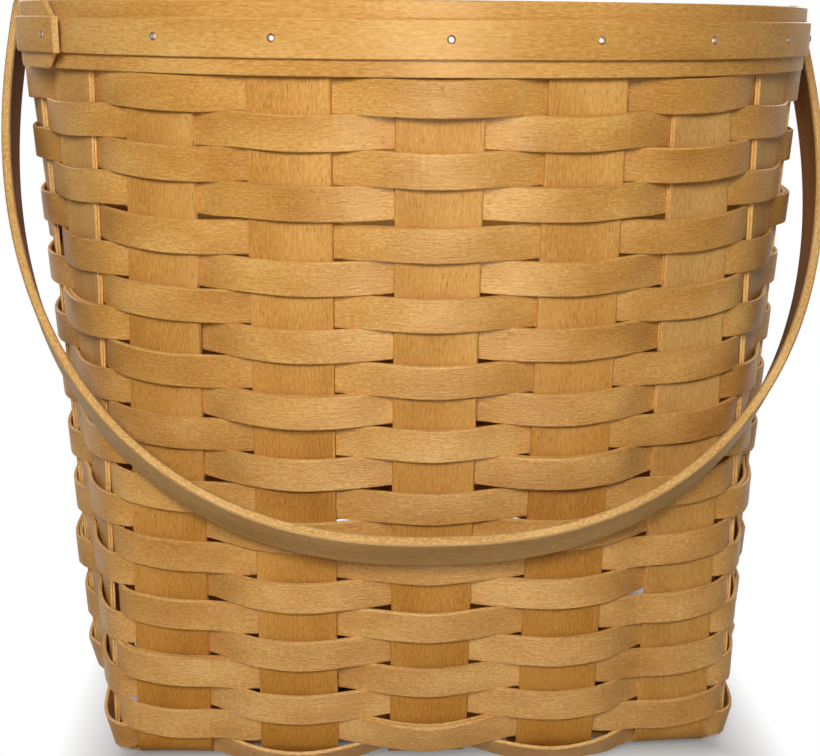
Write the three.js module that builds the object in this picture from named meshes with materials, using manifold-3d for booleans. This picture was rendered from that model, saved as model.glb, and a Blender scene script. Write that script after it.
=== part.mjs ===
// Woven splint basket with a round rim, a rounded-square base and a bentwood swing handle.
// Millimetres, +Z up. The origin is the middle of the underside, and the handle hangs at the front, -Y.

import * as THREE from 'three';
import { mergeVertices } from 'three/addons/utils/BufferGeometryUtils.js';
import Module from 'manifold-3d';

// Splints: five run front to back and five side to side, and both ends of each climb the wall.
const SPLINTS_EACH_WAY = 5;
const SPLINT_WIDTH = 31;
const SPLINT_THICKNESS = 2.2;
const SPLINT_SPACING = 52;

// Weavers: thin strips that go round the wall, over one upright and under the next.
const WEAVER_PITCH = 12.7;
const WEAVER_THICKNESS = 1.6;
const WEAVER_LAP_UPRIGHTS = 2;
const WEAVER_FIRST_START_INDEX = 19;
const WEAVER_START_STEP_COUNT = 11;

// Wall: a circle at the rim that eases into a rounded square where the splints bend under.
const RIM_RADIUS = 169;
const WALL_HEIGHT = 282.6;
const BEND_RADIUS_MIDDLE = 28;
const BEND_RADIUS_CORNER = 12;
const FOOT_TURN_SHARE = 0.35;

// Rim: an inner and an outer band clamp the uprights, and a narrow trim strip runs over the outer band.
const BAND_HEIGHT = 25.4;
const BAND_THICKNESS = 2.2;
const TRIM_HEIGHT = 13.5;
const TRIM_THICKNESS = 1.6;
const UPRIGHT_BELOW_RIM_TOP = 1;
const LAP_END_ANGLE = -49.8;
const LAP_ANGLE = 14;
const LAP_RAMP_ANGLE = 5;
const TRIM_LAP_OVERHANG_ANGLE = 1.6;
const LAP_CORNER_CUT = 5;
const INNER_LAP_END_ANGLE = 117;

// Handle: a flat strip bent into a hoop that hangs from a rivet at each side.
const HANDLE_WIDTH = 19.5;
const HANDLE_THICKNESS = 3.8;
const HANDLE_DROP = 251;
const HANDLE_FULLNESS = 2.36;
const HANDLE_END_PAST_PIVOT = 16;
const HANDLE_RUNNING_GAP = 0.8;
const HANDLE_REST_GAP = 1.6;

// Fasteners.
const RIVET_SHANK_RADIUS = 2.2;
const RIVET_HEAD_RADIUS = 3.8;
const RIVET_HEAD_HEIGHT = 2.4;
const RIVET_PEEN_RADIUS = 3;
const RIVET_PEEN_HEIGHT = 1.2;
const RIVET_PEEN_FLAT_RADIUS = 2.1;
const BURR_RADIUS = 5;
const BURR_THICKNESS = 1.2;
const NAIL_HEAD_RADIUS = 1.4;
const NAIL_HEAD_HEIGHT = 0.7;
const NAIL_SHANK_RADIUS = 0.8;
const LAP_NAIL_BACK_ANGLE = 5;
// The front nails were driven by eye: degrees off the middle of their uprights, from the left one on.
const FIRST_UNEVEN_NAIL = -2;
const NAIL_TURNS = [1.3, -1.2, 0.9, 0.3, -1, -0.8];

// Clearances.
const GAP = 0.3;
const ROW_GAP = 0.4;
const WEAVE_ROOM = 0.4;
const RIM_ROOM = 0.6;
const EDGE_ROOM = 0.8;

// Fineness of the facets.
const WALL_STEPS = 6;
const BEND_STEPS = 5;
const BAND_STEPS = 44;
const RAMP_STEPS = 4;
const LAP_STEPS = 3;
const HANDLE_STEPS = 36;
const HANDLE_END_STEPS = 4;
const RIVET_SIDES = 12;
const RIVET_DOME_STEPS = 3;
const NAIL_SIDES = 6;
const SEARCH_STEPS = 60;
const STIFFEST_POWER = 60;
const HANDLE_REST_SAMPLES = 240;
const WELD_DISTANCE = 1e-4;

const COLOURS = { splint: 0xc07f34, weaver: 0xc8924a, band: 0xbd8440, handle: 0xb3813f, steel: 0x8d8a86 };

const UPRIGHTS = 4 * SPLINTS_EACH_WAY;
const HALF_COUNT = (SPLINTS_EACH_WAY - 1) / 2;
const UPRIGHT_ANGLE = 2 * Math.PI / UPRIGHTS;
const WEAVER_ROWS = Math.floor((WALL_HEIGHT - RIM_ROOM) / WEAVER_PITCH);
const RIM_TOP = WALL_HEIGHT + BAND_HEIGHT;
const PIVOT_HEIGHT = WALL_HEIGHT + BAND_HEIGHT / 2;
const LEVEL_LOW = SPLINT_THICKNESS / 2;
const LEVEL_HIGH = LEVEL_LOW + SPLINT_THICKNESS + GAP;
const FLAT_HALF = HALF_COUNT * SPLINT_SPACING + SPLINT_WIDTH / 2 + EDGE_ROOM;
const BASE_HALF = FLAT_HALF + BEND_RADIUS_MIDDLE;
const WEAVE_OFFSET = (SPLINT_THICKNESS + WEAVER_THICKNESS) / 2 + WEAVE_ROOM;
const WEAVER_LAYER = WEAVER_THICKNESS + GAP;
const INNER_WALL = RIM_RADIUS - SPLINT_THICKNESS / 2 - GAP;
const UPRIGHT_CORNER = Math.hypot(RIM_RADIUS + SPLINT_THICKNESS / 2, SPLINT_WIDTH / 2);
const FACET_ROOM = 1 / Math.cos(Math.PI / BAND_STEPS);
const BAND_INNER_RADIUS = (UPRIGHT_CORNER + GAP) * FACET_ROOM;
const TRIM_INNER_RADIUS = BAND_INNER_RADIUS + BAND_THICKNESS + GAP;
const TRIM_OUTER_RADIUS = TRIM_INNER_RADIUS + TRIM_THICKNESS;
const RIM_LAP_STEP = BAND_THICKNESS + TRIM_THICKNESS + 2 * GAP;
const PIVOT_HALF = TRIM_OUTER_RADIUS + HANDLE_RUNNING_GAP + HANDLE_THICKNESS / 2;

const wasm = await Module();
wasm.setup();

const basket = new THREE.Group();
const handleGroup = new THREE.Group();
basket.add(handleGroup);

function material(colour, roughness, metalness) {
  return new THREE.MeshStandardMaterial({ color: colour, roughness, metalness });
}

function addMesh(parent, name, geometry, colour, roughness = 0.5, metalness = 0) {
  const mesh = new THREE.Mesh(geometry, material(colour, roughness, metalness));
  mesh.name = name;
  parent.add(mesh);
  return mesh;
}

const degrees = (value) => THREE.MathUtils.degToRad(value);
const mix = (a, b, t) => a + (b - a) * t;
const isOdd = (count) => Math.abs(count) % 2 === 1;

// Power of the rounded square that passes through both the middle and the corner upright's bends.
function squareness() {
  const across = HALF_COUNT * SPLINT_SPACING / BASE_HALF;
  const along = (FLAT_HALF + BEND_RADIUS_CORNER) / BASE_HALF;
  let low = 1;
  let high = STIFFEST_POWER;
  for (let i = 0; i < SEARCH_STEPS; i += 1) {
    const power = (low + high) / 2;
    if (across ** power + along ** power > 1) {
      low = power;
    } else {
      high = power;
    }
  }
  return low;
}
const SQUARENESS = squareness();

// One upright of the front side, as stations from the rim down to the end of its bend under the base.
// Each station holds its middle, the way across the strip, the way out of the basket and the way down.
// The strip faces out all round at the rim, and turns nearly square to the base on its way down.
function frontUpright(column, level) {
  const x = column * SPLINT_SPACING;
  const reach = BASE_HALF * (1 - (Math.abs(x) / BASE_HALF) ** SQUARENESS) ** (1 / SQUARENESS);
  const bend = reach - FLAT_HALF;
  const topTurn = column * UPRIGHT_ANGLE;
  const baseTurn = FOOT_TURN_SHARE * Math.atan2(
    Math.sign(x) * (Math.abs(x) / BASE_HALF) ** (SQUARENESS - 1),
    (reach / BASE_HALF) ** (SQUARENESS - 1),
  );
  const top = new THREE.Vector3(RIM_RADIUS * Math.sin(topTurn), -RIM_RADIUS * Math.cos(topTurn), WALL_HEIGHT);
  const foot = new THREE.Vector3(x, -reach, level + bend);
  const stations = [];
  const push = (middle, turn, down) => {
    const across = new THREE.Vector3(Math.cos(turn), Math.sin(turn), 0);
    across.addScaledVector(down, -across.dot(down)).normalize();
    const out = new THREE.Vector3().crossVectors(down, across).normalize();
    stations.push({ middle, across, out, down: down.clone() });
  };
  const straightDown = new THREE.Vector3(0, 0, -1);
  const rimEnd = top.clone().setZ(RIM_TOP - UPRIGHT_BELOW_RIM_TOP);
  push(rimEnd, topTurn, straightDown);
  const wallDown = foot.clone().sub(top).normalize();
  for (let i = 0; i <= WALL_STEPS; i += 1) {
    const t = i / WALL_STEPS;
    push(top.clone().lerp(foot, t), mix(topTurn, baseTurn, t), wallDown);
  }
  for (let i = 1; i <= BEND_STEPS; i += 1) {
    const angle = i / BEND_STEPS * Math.PI / 2;
    const down = new THREE.Vector3(0, Math.sin(angle), -Math.cos(angle));
    const y = -FLAT_HALF - bend * Math.cos(angle);
    const z = level + bend - bend * Math.sin(angle);
    push(new THREE.Vector3(x, y, z), mix(baseTurn, 0, i / BEND_STEPS), down);
  }
  return stations;
}

// A copy of a station with each of its vectors changed.
function changed(station, change) {
  const result = {};
  for (const key of Object.keys(station)) {
    result[key] = change(station[key], key);
  }
  return result;
}

function turned(stations, quarter) {
  const axis = new THREE.Vector3(0, 0, 1);
  const spin = (vector) => vector.clone().applyAxisAngle(axis, quarter * Math.PI / 2);
  return stations.map((station) => changed(station, spin));
}

// Upright number 0 is the middle of the front, and the count goes round by the right side.
function upright(number) {
  const wrapped = (number + UPRIGHTS + HALF_COUNT) % UPRIGHTS;
  const side = Math.floor(wrapped / SPLINTS_EACH_WAY);
  const column = wrapped % SPLINTS_EACH_WAY - HALF_COUNT;
  const level = isOdd(number) ? LEVEL_LOW : LEVEL_HIGH;
  return turned(frontUpright(column, level), side);
}
const uprights = Array.from({ length: UPRIGHTS }, (unused, number) => upright(number));

// The station of an upright at a distance down from the lower edge of the rim.
function stationAt(number, distance) {
  const stations = uprights[(number + 2 * UPRIGHTS) % UPRIGHTS].slice(1);
  let walked = 0;
  for (let i = 1; i < stations.length; i += 1) {
    const step = stations[i].middle.distanceTo(stations[i - 1].middle);
    if (walked + step >= distance || i === stations.length - 1) {
      const t = (distance - walked) / step;
      const above = stations[i - 1];
      const found = changed(stations[i], (vector, key) => above[key].clone().lerp(vector, t));
      found.across.normalize();
      found.out.normalize();
      return found;
    }
    walked += step;
  }
  return null;
}

// A closed solid skinned over rings of points, with a flat cap at each end.
function skin(rings) {
  const count = rings[0].length;
  const positions = [];
  for (const point of rings.flat()) {
    positions.push(point.x, point.y, point.z);
  }
  const indices = [];
  for (let i = 0; i + 1 < rings.length; i += 1) {
    for (let j = 0; j < count; j += 1) {
      const a = i * count + j;
      const b = i * count + (j + 1) % count;
      indices.push(a, b, b + count, a, b + count, a + count);
    }
  }
  const last = (rings.length - 1) * count;
  for (let j = 1; j + 1 < count; j += 1) {
    indices.push(0, j + 1, j);
    indices.push(last, last + j, last + j + 1);
  }
  const geometry = new THREE.BufferGeometry();
  geometry.setAttribute('position', new THREE.Float32BufferAttribute(positions, 3));
  geometry.setIndex(indices);
  return geometry;
}

function signedVolume(geometry) {
  const position = geometry.getAttribute('position');
  const index = geometry.getIndex();
  const corner = (i) => new THREE.Vector3().fromBufferAttribute(position, index.getX(i));
  let sum = 0;
  for (let i = 0; i < index.count; i += 3) {
    sum += corner(i).dot(corner(i + 1).cross(corner(i + 2)));
  }
  return sum / 6;
}

function facingOut(geometry) {
  if (signedVolume(geometry) > 0) {
    return geometry;
  }
  const index = Array.from(geometry.getIndex().array);
  for (let i = 0; i < index.length; i += 3) {
    [index[i + 1], index[i + 2]] = [index[i + 2], index[i + 1]];
  }
  geometry.setIndex(index);
  return geometry;
}

function toSolid(geometry) {
  const bare = geometry.clone();
  bare.deleteAttribute('normal');
  bare.deleteAttribute('uv');
  const merged = mergeVertices(bare, WELD_DISTANCE);
  const mesh = new wasm.Mesh({
    numProp: 3,
    vertProperties: new Float32Array(merged.getAttribute('position').array),
    triVerts: new Uint32Array(merged.getIndex().array),
  });
  return new wasm.Manifold(mesh);
}

function drilled(geometry, drills) {
  let solid = toSolid(facingOut(geometry));
  for (const drill of drills) {
    solid = solid.subtract(toSolid(drill));
  }
  const { vertProperties, triVerts } = solid.getMesh();
  const result = new THREE.BufferGeometry();
  result.setAttribute('position', new THREE.BufferAttribute(new Float32Array(vertProperties), 3));
  result.setIndex(Array.from(triVerts));
  return result;
}

// A round bar that points out of the basket at an angle from the front, between two radii.
function drillAt(angle, height, radius, from, to, sides) {
  const bar = new THREE.CylinderGeometry(radius, radius, to - from, sides);
  bar.translate(0, -(from + to) / 2, 0);
  bar.rotateZ(angle);
  bar.translate(0, 0, height);
  return bar;
}

// Splints: down one wall, over and under across the base, and up the opposite wall.
function splintGeometry(firstUpright, lastUpright, acrossBase) {
  const first = uprights[firstUpright];
  const last = uprights[lastUpright].slice().reverse();
  const ring = (station, flip) => {
    const side = station.across.clone().multiplyScalar(flip * SPLINT_WIDTH / 2);
    const face = station.out.clone().multiplyScalar(SPLINT_THICKNESS / 2);
    const corner = (s, f) => station.middle.clone().addScaledVector(side, s).addScaledVector(face, f);
    return [corner(1, 1), corner(-1, 1), corner(-1, -1), corner(1, -1)];
  };
  const rings = first.map((station) => ring(station, 1));
  const bottom = first[first.length - 1];
  for (const { along, level } of acrossBase) {
    const middle = bottom.middle.clone().addScaledVector(bottom.down, along + FLAT_HALF);
    middle.z = level;
    rings.push(ring({ middle, across: bottom.across, out: bottom.out }, 1));
  }
  rings.push(...last.map((station) => ring(station, -1)));
  return skin(rings);
}

// The levels at which a splint crosses the others, as its distance along from the middle of the base.
function baseCrossings(number) {
  const crossings = [];
  for (let i = -HALF_COUNT; i <= HALF_COUNT; i += 1) {
    const high = isOdd(number) === isOdd(i + HALF_COUNT);
    const level = high ? LEVEL_HIGH : LEVEL_LOW;
    for (const edge of [-1, 1]) {
      const along = i * SPLINT_SPACING + edge * (SPLINT_WIDTH / 2 + EDGE_ROOM);
      if (Math.abs(along) < FLAT_HALF - EDGE_ROOM / 2) {
        crossings.push({ along, level });
      }
    }
  }
  return crossings;
}

const rivetNumber = SPLINTS_EACH_WAY;
const rivetHoleRadius = RIVET_SHANK_RADIUS + GAP;
const pivotDrills = [-1, 1].map((side) => drillAt(
  side * Math.PI / 2,
  PIVOT_HEIGHT,
  rivetHoleRadius,
  INNER_WALL - 2 * (BAND_THICKNESS + GAP),
  PIVOT_HALF + HANDLE_THICKNESS,
  RIVET_SIDES,
));

for (let column = -HALF_COUNT; column <= HALF_COUNT; column += 1) {
  const front = (column + UPRIGHTS) % UPRIGHTS;
  const back = 2 * SPLINTS_EACH_WAY - column;
  const right = SPLINTS_EACH_WAY + column;
  const left = 3 * SPLINTS_EACH_WAY - column;
  const count = column + HALF_COUNT + 1;
  const lengthwise = facingOut(splintGeometry(front, back, baseCrossings(front)));
  addMesh(basket, `splint_front_to_back_${count}`, lengthwise, COLOURS.splint);
  const sideways = facingOut(splintGeometry(right, left, baseCrossings(right)));
  const carriesRivets = right === rivetNumber;
  const drilledSideways = carriesRivets ? drilled(sideways, pivotDrills) : sideways;
  addMesh(basket, `splint_side_to_side_${count}`, drilledSideways, COLOURS.splint);
}

// How far an upright stands out of a flat facet laid along it, because it bends there.
function bulge(number, top, bottom) {
  const high = stationAt(number, top);
  const low = stationAt(number, bottom);
  const middle = stationAt(number, (top + bottom) / 2);
  const chord = high.middle.clone().add(low.middle).multiplyScalar(0.5);
  return middle.middle.clone().sub(chord).dot(middle.out);
}

// How far the corners of an upright stand out of such a facet, because the upright twists.
function twistRoom(number, top, bottom) {
  const halfStep = WALL_HEIGHT / WALL_STEPS / 2;
  const high = stationAt(number, Math.max(0, top - halfStep));
  const low = stationAt(number, bottom);
  return SPLINT_WIDTH / 4 * Math.abs(high.across.dot(low.out));
}

// A weaver starts behind an upright, goes once round, laps over its own start and ends behind an upright.
function weaverGeometry(row) {
  const top = RIM_ROOM + (row - 1) * WEAVER_PITCH + ROW_GAP / 2;
  const bottom = RIM_ROOM + row * WEAVER_PITCH - ROW_GAP / 2;
  const straightWall = uprights[0][1].middle.distanceTo(uprights[0][1 + WALL_STEPS].middle);
  const facets = bottom > straightWall ? 2 : 1;
  const levels = Array.from({ length: facets + 1 }, (unused, i) => mix(top, bottom, i / facets));
  const start = (WEAVER_FIRST_START_INDEX + (row - 1) * WEAVER_START_STEP_COUNT) % UPRIGHTS;
  const end = start + UPRIGHTS + WEAVER_LAP_UPRIGHTS;
  const reach = SPLINT_WIDTH / 2 + EDGE_ROOM;
  const section = (offset, place) => {
    const outer = [];
    const inner = [];
    for (const level of levels) {
      const { point, out } = place(level);
      outer.push(point.clone().addScaledVector(out, offset + WEAVER_THICKNESS / 2));
      inner.push(point.clone().addScaledVector(out, offset - WEAVER_THICKNESS / 2));
    }
    return [...outer, ...inner.reverse()];
  };
  const ring = (number, acrossDistance) => {
    const outside = isOdd(row + number);
    const firstLayer = number <= start + WEAVER_LAP_UPRIGHTS;
    const secondLayer = number >= start + UPRIGHTS;
    let offset = outside ? WEAVE_OFFSET : -WEAVE_OFFSET;
    if (outside && secondLayer) {
      offset += WEAVER_LAYER;
    }
    if (!outside && firstLayer) {
      offset -= WEAVER_LAYER;
    }
    const twisted = twistRoom(number, top, bottom);
    let bulged = 0;
    for (let i = 0; i < facets; i += 1) {
      bulged = Math.max(bulged, bulge(number, levels[i], levels[i + 1]));
    }
    offset += outside ? bulged + twisted : -twisted;
    return section(offset, (level) => {
      const { middle, across, out } = stationAt(number, level);
      return { point: middle.clone().addScaledVector(across, acrossDistance), out };
    });
  };
  // Where the wall bends, neighbouring rows cross half-way between two uprights.
  const crossing = (number) => {
    const inLap = number < start + WEAVER_LAP_UPRIGHTS ? -1 : Number(number >= start + UPRIGHTS);
    return section(inLap * WEAVER_LAYER / 2, (level) => {
      const near = stationAt(number, level);
      const far = stationAt(number + 1, level);
      const point = near.middle.clone().addScaledVector(near.across, reach);
      point.add(far.middle).addScaledVector(far.across, -reach).multiplyScalar(0.5);
      return { point, out: near.out.clone().add(far.out).normalize() };
    });
  };
  const rings = [ring(start, 0)];
  for (let number = start; number < end; number += 1) {
    rings.push(ring(number, reach));
    if (facets > 1) {
      rings.push(crossing(number));
    }
    rings.push(ring(number + 1, -reach));
  }
  rings.push(ring(end, 0));
  return facingOut(skin(rings));
}

for (let row = 1; row <= WEAVER_ROWS; row += 1) {
  addMesh(basket, `weaver_row_${String(row).padStart(2, '0')}`, weaverGeometry(row), COLOURS.weaver);
}

// How far a rim strip has climbed over its own start, from 0 before the lap to 1 on it.
function lapRise(angle, lapAngle) {
  const lapStart = lapAngle - degrees(LAP_ANGLE);
  const t = Math.min(Math.max((angle - lapStart) / degrees(LAP_RAMP_ANGLE) + 1, 0), 1);
  return t * t * (3 - 2 * t);
}

// A rim strip goes round from the hidden start of its lap and climbs over itself to the visible end.
function rimStrip({ innerRadius, thickness, bottom, top, lapAngle, endAngle, lapStep, cornerCut }) {
  const start = lapAngle - degrees(LAP_ANGLE);
  const end = endAngle + 2 * Math.PI;
  const rampStart = start + 2 * Math.PI - degrees(LAP_RAMP_ANGLE);
  const radiusAt = (angle) => innerRadius + lapStep * lapRise(angle - 2 * Math.PI, lapAngle);
  const angles = [];
  const ringSteps = Math.ceil((rampStart - start) / (2 * Math.PI) * BAND_STEPS);
  for (let i = 0; i < ringSteps; i += 1) {
    angles.push(mix(start, rampStart, i / ringSteps));
  }
  for (let i = 0; i <= RAMP_STEPS; i += 1) {
    angles.push(rampStart + degrees(LAP_RAMP_ANGLE) * i / RAMP_STEPS);
  }
  const cut = cornerCut / innerRadius;
  for (let i = 1; i <= LAP_STEPS; i += 1) {
    angles.push(mix(start + 2 * Math.PI, end - cut, i / LAP_STEPS));
  }
  if (cut > 0) {
    angles.push(end);
  }
  const rings = angles.map((angle) => {
    const shrink = cut > 0 ? Math.max(0, (angle - (end - cut)) / cut) * cornerCut : 0;
    const inner = radiusAt(angle);
    const outer = inner + thickness;
    const point = (radius, z) => new THREE.Vector3(radius * Math.sin(angle), -radius * Math.cos(angle), z);
    return [point(outer, top - shrink), point(outer, bottom + shrink), point(inner, bottom + shrink),
      point(inner, top - shrink)];
  });
  return facingOut(skin(rings));
}

// Nails stand at the middle of each upright, except where a rivet goes through or where the lap ends.
const nailPlaces = [];
const lapEnd = degrees(LAP_END_ANGLE);
for (let number = -UPRIGHTS / 2 + 1; number <= UPRIGHTS / 2; number += 1) {
  if (Math.abs(number) === rivetNumber) {
    continue;
  }
  const turn = NAIL_TURNS[number - FIRST_UNEVEN_NAIL] ?? 0;
  const plain = number * UPRIGHT_ANGLE + degrees(turn);
  const nearLap = Math.abs(plain - lapEnd) < UPRIGHT_ANGLE / 2;
  const angle = nearLap ? lapEnd - degrees(LAP_NAIL_BACK_ANGLE) : plain;
  const headAngle = NAIL_HEAD_RADIUS / TRIM_OUTER_RADIUS;
  const onLap = angle < lapEnd;
  nailPlaces.push({ angle, lift: onLap ? RIM_LAP_STEP * lapRise(angle + headAngle, lapEnd) : 0 });
}
const nailDrills = nailPlaces.map(({ angle }) => drillAt(
  angle,
  PIVOT_HEIGHT,
  NAIL_SHANK_RADIUS + GAP / 2,
  BAND_INNER_RADIUS - BAND_THICKNESS,
  TRIM_OUTER_RADIUS + 2 * RIM_LAP_STEP,
  NAIL_SIDES,
));

const outerBand = rimStrip({
  innerRadius: BAND_INNER_RADIUS,
  thickness: BAND_THICKNESS,
  bottom: WALL_HEIGHT,
  top: RIM_TOP,
  lapAngle: lapEnd,
  endAngle: lapEnd - degrees(TRIM_LAP_OVERHANG_ANGLE),
  lapStep: RIM_LAP_STEP,
  cornerCut: LAP_CORNER_CUT,
});
addMesh(basket, 'outer_band', drilled(outerBand, [...pivotDrills, ...nailDrills]), COLOURS.band);

const trimStrip = rimStrip({
  innerRadius: TRIM_INNER_RADIUS,
  thickness: TRIM_THICKNESS,
  bottom: PIVOT_HEIGHT - TRIM_HEIGHT / 2,
  top: PIVOT_HEIGHT + TRIM_HEIGHT / 2,
  lapAngle: lapEnd,
  endAngle: lapEnd,
  lapStep: RIM_LAP_STEP,
  cornerCut: 0,
});
addMesh(basket, 'trim_strip', drilled(trimStrip, [...pivotDrills, ...nailDrills]), COLOURS.band);

const innerBand = rimStrip({
  innerRadius: INNER_WALL - BAND_THICKNESS,
  thickness: BAND_THICKNESS,
  bottom: WALL_HEIGHT,
  top: RIM_TOP,
  lapAngle: degrees(INNER_LAP_END_ANGLE),
  endAngle: degrees(INNER_LAP_END_ANGLE),
  lapStep: -BAND_THICKNESS - GAP,
  cornerCut: LAP_CORNER_CUT,
});
addMesh(basket, 'inner_band', drilled(innerBand, pivotDrills), COLOURS.band);

function nailGeometry(angle, lift) {
  const seat = TRIM_OUTER_RADIUS + lift + GAP;
  const tip = BAND_INNER_RADIUS;
  const profile = [
    new THREE.Vector2(0, tip),
    new THREE.Vector2(NAIL_SHANK_RADIUS, tip),
    new THREE.Vector2(NAIL_SHANK_RADIUS, seat),
    new THREE.Vector2(NAIL_HEAD_RADIUS, seat),
    new THREE.Vector2(0, seat + NAIL_HEAD_HEIGHT),
  ];
  const geometry = new THREE.LatheGeometry(profile, NAIL_SIDES);
  geometry.rotateX(Math.PI);
  geometry.rotateZ(angle);
  geometry.translate(0, 0, PIVOT_HEIGHT);
  return geometry;
}

nailPlaces.forEach(({ angle, lift }, i) => {
  const name = `rim_nail_${String(i + 1).padStart(2, '0')}`;
  addMesh(basket, name, nailGeometry(angle, lift), COLOURS.steel, 0.3, 1);
});

// Handle hoop: a superellipse that hangs from the pivots, with straight rounded ends above them.
// One place on it is given by x, by the drop from the pivots in the hoop's plane, and by the way out.
function hoopPlace(angle) {
  const c = Math.cos(angle);
  const s = Math.sin(angle);
  const power = 2 / HANDLE_FULLNESS;
  const x = -PIVOT_HALF * Math.sign(c) * Math.abs(c) ** power;
  const drop = HANDLE_DROP * Math.abs(s) ** power;
  const outX = Math.sign(x) * (Math.abs(x) / PIVOT_HALF) ** (HANDLE_FULLNESS - 1) / PIVOT_HALF;
  const outDrop = (drop / HANDLE_DROP) ** (HANDLE_FULLNESS - 1) / HANDLE_DROP;
  return { x, drop, outX, outDrop };
}

// The four corners of the strip at a place on the hoop, when the hoop hangs at a tilt below level.
function hoopCorners({ x, drop, outX, outDrop }, tilt, halfWidth) {
  const away = new THREE.Vector3(0, -Math.cos(tilt), -Math.sin(tilt));
  const sideways = new THREE.Vector3(0, -Math.sin(tilt), Math.cos(tilt));
  const middle = new THREE.Vector3(x, 0, PIVOT_HEIGHT).addScaledVector(away, drop);
  const out = away.multiplyScalar(outDrop).add(new THREE.Vector3(outX, 0, 0)).normalize();
  const halfThick = HANDLE_THICKNESS / 2;
  const corner = (w, t) => middle.clone().addScaledVector(sideways, w * halfWidth)
    .addScaledVector(out, t * halfThick);
  return [corner(1, 1), corner(-1, 1), corner(-1, -1), corner(1, -1)];
}

// Room between a point and the weave in front of the uprights, or Infinity where no upright is behind it.
function roomToWeave(point) {
  let room = Infinity;
  for (let number = -rivetNumber; number <= rivetNumber; number += 1) {
    const slope = -uprights[(number + UPRIGHTS) % UPRIGHTS][1 + WALL_STEPS].down.z;
    const { middle, across, out } = stationAt(number, Math.max(0, (WALL_HEIGHT - point.z) / slope));
    const offset = point.clone().sub(middle);
    const inFront = point.x * out.x + point.y * out.y > 0;
    if (inFront && Math.abs(offset.dot(across)) <= SPLINT_WIDTH / 2 + EDGE_ROOM) {
      room = Math.min(room, offset.dot(out) - WEAVE_OFFSET - WEAVER_THICKNESS / 2);
    }
  }
  return room;
}

// The handle swings down until its inner face lies against the weave.
function hangTilt() {
  let free = 0;
  let blocked = Math.PI / 2;
  for (let i = 0; i < SEARCH_STEPS; i += 1) {
    const tilt = (free + blocked) / 2;
    let room = Infinity;
    for (let j = 1; j < HANDLE_REST_SAMPLES; j += 1) {
      const place = hoopPlace(j / HANDLE_REST_SAMPLES * Math.PI);
      const corners = place.drop > HANDLE_WIDTH ? hoopCorners(place, tilt, HANDLE_WIDTH / 2) : [];
      room = Math.min(room, ...corners.map(roomToWeave));
    }
    if (room > HANDLE_REST_GAP) {
      free = tilt;
    } else {
      blocked = tilt;
    }
  }
  return free;
}

function handleGeometry() {
  const rings = [];
  const tilt = hangTilt();
  const half = HANDLE_WIDTH / 2;
  const roundCentre = half - HANDLE_END_PAST_PIVOT;
  const endRings = (side, order) => {
    for (const i of order) {
      const angle = (i + 0.5) / (HANDLE_END_STEPS + 0.5) * Math.PI / 2;
      const drop = roundCentre - half * Math.cos(angle);
      const place = { x: side * PIVOT_HALF, drop, outX: side, outDrop: 0 };
      rings.push(hoopCorners(place, tilt, half * Math.sin(angle)));
    }
  };
  const order = Array.from({ length: HANDLE_END_STEPS + 1 }, (unused, i) => i);
  endRings(-1, order);
  for (let i = 0; i <= HANDLE_STEPS; i += 1) {
    rings.push(hoopCorners(hoopPlace(i / HANDLE_STEPS * Math.PI), tilt, half));
  }
  endRings(1, order.slice().reverse());
  return drilled(skin(rings), pivotDrills);
}
addMesh(handleGroup, 'handle', handleGeometry(), COLOURS.handle);

// Rivets: a domed head outside the handle, and an end peened over a burr inside the basket.
const burrOuterFace = (INNER_WALL - BAND_THICKNESS) / FACET_ROOM - GAP;
const burrInnerFace = burrOuterFace - BURR_THICKNESS;
const headSeat = PIVOT_HALF + HANDLE_THICKNESS / 2 + GAP;

function rivetGeometry() {
  const peenSeat = burrInnerFace - GAP;
  const profile = [
    new THREE.Vector2(0, peenSeat - RIVET_PEEN_HEIGHT),
    new THREE.Vector2(RIVET_PEEN_FLAT_RADIUS, peenSeat - RIVET_PEEN_HEIGHT),
    new THREE.Vector2(RIVET_PEEN_RADIUS, peenSeat),
    new THREE.Vector2(RIVET_SHANK_RADIUS, peenSeat),
    new THREE.Vector2(RIVET_SHANK_RADIUS, headSeat),
    new THREE.Vector2(RIVET_HEAD_RADIUS, headSeat),
  ];
  for (let i = 1; i <= RIVET_DOME_STEPS; i += 1) {
    const angle = i / RIVET_DOME_STEPS * Math.PI / 2;
    const radius = i === RIVET_DOME_STEPS ? 0 : RIVET_HEAD_RADIUS * Math.cos(angle);
    profile.push(new THREE.Vector2(radius, headSeat + RIVET_HEAD_HEIGHT * Math.sin(angle)));
  }
  return new THREE.LatheGeometry(profile, RIVET_SIDES);
}

function burrGeometry() {
  const bore = RIVET_SHANK_RADIUS + GAP;
  const profile = [
    new THREE.Vector2(bore, burrInnerFace),
    new THREE.Vector2(BURR_RADIUS, burrInnerFace),
    new THREE.Vector2(BURR_RADIUS, burrOuterFace),
    new THREE.Vector2(bore, burrOuterFace),
    new THREE.Vector2(bore, burrInnerFace),
  ];
  return new THREE.LatheGeometry(profile, RIVET_SIDES);
}

for (const [side, name] of [[-1, 'left'], [1, 'right']]) {
  const rivet = addMesh(basket, `rivet_${name}`, rivetGeometry(), COLOURS.steel, 0.4, 1);
  const burr = addMesh(basket, `rivet_burr_${name}`, burrGeometry(), COLOURS.steel, 0.4, 1);
  for (const piece of [rivet, burr]) {
    piece.rotation.z = -side * Math.PI / 2;
    piece.position.z = PIVOT_HEIGHT;
  }
}

export default basket;
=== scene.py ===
# %% [markdown]
# A deep basket of flat wooden strips. Twenty uprights climb the wall, twenty-two thin weavers go
# round them in turn, two bands clamp the rim, and a bent hoop of wood hangs from two rivets.
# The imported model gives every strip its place. One woven sheet with a pattern on it would be
# quicker, but close up it has no edges, gaps or shadows. So each strip is laid again by itself, with
# eased edges, a real over-and-under path and varnished wood, and takes the place of the plain one.

import math
import random

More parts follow.
